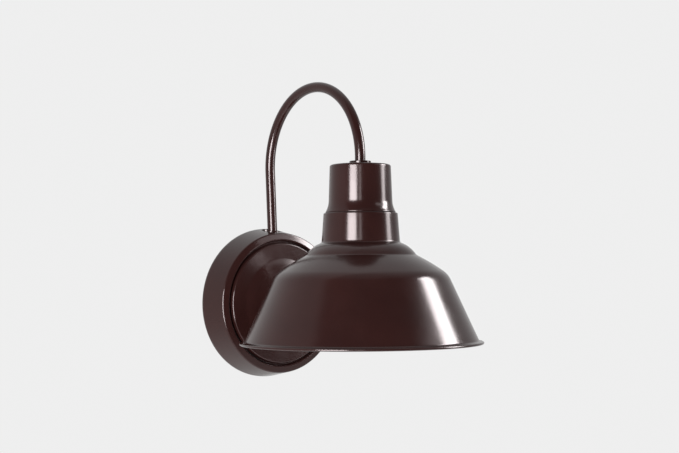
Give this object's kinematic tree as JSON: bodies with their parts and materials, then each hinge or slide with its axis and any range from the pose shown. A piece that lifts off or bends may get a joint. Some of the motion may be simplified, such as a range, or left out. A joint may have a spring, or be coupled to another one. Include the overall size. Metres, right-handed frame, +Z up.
{
  "type": "outdoor wall lantern",
  "caption": "Wall lantern with a gooseneck tube arm, a round stepped wall plate and a flared spun-metal shade under a tapered socket cup.",
  "frame": {"origin": "middle of the crossbar's box screw slots, on the wall plane", "axes": "+Y points into the wall, the lantern stands out along -Y, +Z is up"},
  "size_m": [0.2286, 0.2753, 0.2948],
  "materials": {
    "bronze_paint": "smooth semi-gloss dark bronze paint",
    "zinc": "zinc-plated steel",
    "brass": "plain brass",
    "porcelain": "white glazed porcelain",
    "foam_seal": "closed-cell foam",
    "rubber_seal": "black rubber",
    "nylon": "black nylon",
    "ring_metal": "turned aluminium",
    "black_wire": "black insulation",
    "white_wire": "white insulation",
    "green_wire": "green insulation",
    "ground_green": "green dyed steel",
    "connector_shell": "orange thermoplastic"
  },
  "bodies": {
    "fixture": {"wall_gasket": "foam_seal", "crossbar": "zinc", "center_nipple": "zinc", "nipple_lock_nut": "zinc", "ground_screw": "ground_green", "ground_lead": "green_wire", "canopy": "bronze_paint", "arm_tube": "bronze_paint", "canopy_collar": "bronze_paint", "foot_lock_washer": "zinc", "foot_nut": "zinc", "foot_bushing": "nylon", "cup_bushing": "nylon", "neck_washer": "bronze_paint", "socket_cup": "bronze_paint", "lampholder_bracket": "zinc", "cup_lock_washer": "zinc", "cup_nut": "zinc", "bracket_screws": "zinc", "lampholder": "porcelain", "screw_shell": "brass", "center_contact": "brass", "cup_gasket": "rubber_seal", "black_lead": "black_wire", "white_lead": "white_wire", "wire_connectors": "connector_shell"},
    "shade": {"shade": "bronze_paint"},
    "ring": {"shade_ring": "ring_metal"},
    "washer": {"cap_washer": "rubber_seal"},
    "cap": {"cap_nut": "bronze_paint"}
  },
  "joints": [
    {"name": "shade_drop", "type": "slide", "parent": "fixture", "child": "shade", "axis": [0, 0, -1], "range_m": [0, 0.01]},
    {"name": "ring_turn", "type": "hinge", "parent": "shade", "child": "ring", "pos_m": [0, -0.161, 0.081], "axis": [0, 0, -1], "range_deg": [0, 1800]},
    {"name": "washer_slide", "type": "slide", "parent": "fixture", "child": "washer", "axis": [0, -1, 0], "range_m": [0, 0.008]},
    {"name": "cap_turn", "type": "hinge", "parent": "washer", "child": "cap", "pos_m": [0, -0.04, 0], "axis": [0, -1, 0], "range_deg": [0, 2880]}
  ],
  "couplings": [
    {"joint": "ring_turn", "follows": "shade_drop", "rad_per_m": 3141.6},
    {"joint": "cap_turn", "follows": "washer_slide", "rad_per_m": 6283.2}
  ]
}
